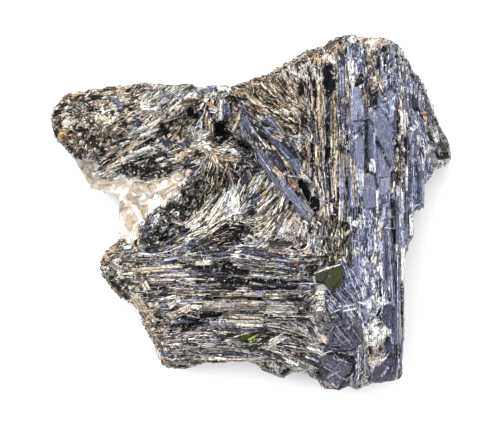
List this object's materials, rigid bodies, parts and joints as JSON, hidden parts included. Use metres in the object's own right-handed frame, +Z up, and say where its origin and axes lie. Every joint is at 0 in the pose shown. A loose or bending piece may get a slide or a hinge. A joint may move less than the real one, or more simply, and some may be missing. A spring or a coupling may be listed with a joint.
{
  "type": "gedrite specimen",
  "caption": "Hand specimen of gedrite rock: a vertical bundle of slate blades, diagonal and level blades, fibres and a quartz patch, lying flat on its back",
  "frame": {"origin": "middle of the bounding box in plan, on the plane of the flat resting facet of the back", "axes": "+Z up out of the bladed face, +Y to the top of the vertical bundle and along its blades, +X from the rounded lobe to the bundle, along the longest side"},
  "size_m": [0.07, 0.0622, 0.0231],
  "materials": {
    "gedrite": "bladed silky rock with pale quartz and cream fibres"
  },
  "bodies": {
    "root": {"gedrite_specimen": "gedrite"}
  },
  "joints": []
}
